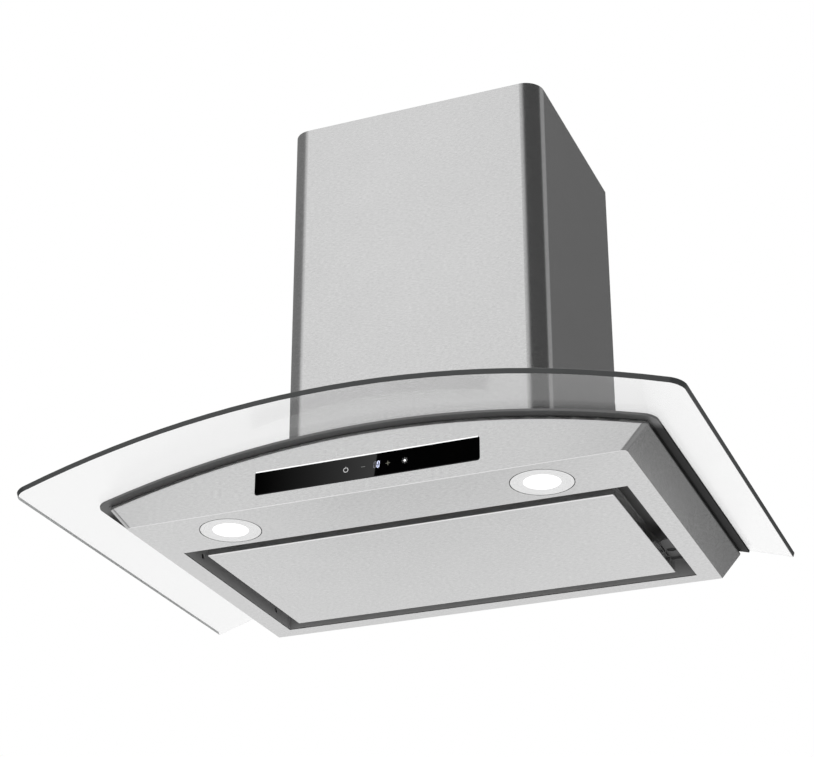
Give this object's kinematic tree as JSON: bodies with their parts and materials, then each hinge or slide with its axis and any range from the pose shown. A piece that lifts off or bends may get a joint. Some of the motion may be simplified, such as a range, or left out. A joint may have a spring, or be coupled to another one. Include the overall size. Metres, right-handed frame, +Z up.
{
  "type": "curved glass range hood",
  "caption": "Wall range hood: bent glass canopy over a steel body, flush suction panel, lamps, touch strip and square chimney.",
  "frame": {"origin": "middle of the footprint, at the height of the canopy's flat underside", "axes": "+Z up, +Y towards the wall, +X to the right as seen from the front"},
  "size_m": [0.7496, 0.516, 0.568],
  "materials": {
    "brushed_steel": "fine brushed stainless steel",
    "galvanised": "galvanised sheet steel",
    "black_enamel": "glossy black enamel",
    "clear_glass": "clear bent toughened glass",
    "touch_glass": "black printed glass",
    "lens_glass": "frosted lens",
    "zinc_steel": "zinc-plated steel",
    "black_rubber": "matte",
    "aluminium": "plain aluminium",
    "white_lamp_rim": "satin white",
    "black_plastic": "matte moulded",
    "white_plastic": "matte moulded",
    "circuit_board": "solder mask",
    "magnet": "ferrite"
  },
  "bodies": {
    "hood": {"blower_box": "galvanised", "blower_frame": "galvanised", "box_hanger": "galvanised", "box_screws": "zinc_steel", "cable_gland": "black_plastic", "canopy_body": "brushed_steel", "canopy_top_plate": "galvanised", "capacitor": "white_plastic", "chimney_cover": "brushed_steel", "collar_screws": "zinc_steel", "control_box": "white_plastic", "control_box_lid": "white_plastic", "cover_brackets": "galvanised", "damper_spindle": "zinc_steel", "duct_collar": "black_plastic", "filter_frame_left": "aluminium", "filter_frame_right": "aluminium", "filter_meshes": "aluminium", "glass_canopy": "clear_glass", "glass_nuts": "zinc_steel", "glass_screws": "zinc_steel", "glass_seat": "black_enamel", "glass_washers": "black_rubber", "intake_tray": "brushed_steel", "lamp_boards": "circuit_board", "lamp_housings": "aluminium", "lamp_leads": "black_plastic", "lamp_lenses": "lens_glass", "lamp_rims": "white_lamp_rim", "led_driver": "white_plastic", "magnet_brackets": "black_plastic", "motor_body": "black_enamel", "motor_bracket": "zinc_steel", "motor_mounts": "black_rubber", "panel_hinge_arms": "galvanised", "panel_magnets": "magnet", "stay_bracket": "galvanised", "terminal_box": "black_plastic", "touch_board": "circuit_board", "touch_carrier": "black_plastic", "touch_glass": "touch_glass", "touch_ribbon": "white_plastic", "volute": "galvanised", "volute_side_left": "galvanised", "volute_side_right": "galvanised", "wall_bracket": "galvanised", "wall_bumpers": "black_rubber"},
    "panel": {"suction_panel": "brushed_steel", "panel_hinge_leaves": "galvanised", "panel_hinge_pins": "zinc_steel", "panel_strikers": "zinc_steel"},
    "wheel": {"blower_wheel": "galvanised", "motor_shaft": "zinc_steel", "wheel_nut": "zinc_steel"},
    "flap_front": {"damper_flap_front": "black_plastic"},
    "flap_rear": {"damper_flap_rear": "black_plastic"},
    "latch_left": {"filter_latch_left": "black_plastic"},
    "latch_right": {"filter_latch_right": "black_plastic"},
    "extension": {"chimney_extension": "brushed_steel", "extension_strap": "galvanised"}
  },
  "joints": [
    {"name": "panel_hinge", "type": "hinge", "parent": "hood", "child": "panel", "pos_m": [0, 0.194, 0.017], "axis": [1, 0, 0], "range_deg": [0, 90]},
    {"name": "chimney_lift", "type": "slide", "parent": "hood", "child": "extension", "axis": [0, 0, 1], "range_m": [0, 0.3]},
    {"name": "blower_spin", "type": "hinge", "parent": "hood", "child": "wheel", "pos_m": [0, 0.12, 0.205], "axis": [1, 0, 0], "continuous": true},
    {"name": "flap_front_swing", "type": "hinge", "parent": "hood", "child": "flap_front", "pos_m": [0, 0.13, 0.365], "axis": [-1, 0, 0], "range_deg": [0, 78]},
    {"name": "flap_rear_swing", "type": "hinge", "parent": "hood", "child": "flap_rear", "pos_m": [0, 0.13, 0.365], "axis": [1, 0, 0], "range_deg": [0, 78]},
    {"name": "left_latch_slide", "type": "slide", "parent": "hood", "child": "latch_left", "axis": [0, 1, 0], "range_m": [0, 0.0055], "stiffness_N_per_m": 300, "springref_m": -0.004},
    {"name": "right_latch_slide", "type": "slide", "parent": "hood", "child": "latch_right", "axis": [0, 1, 0], "range_m": [0, 0.0055], "stiffness_N_per_m": 300, "springref_m": -0.004}
  ]
}
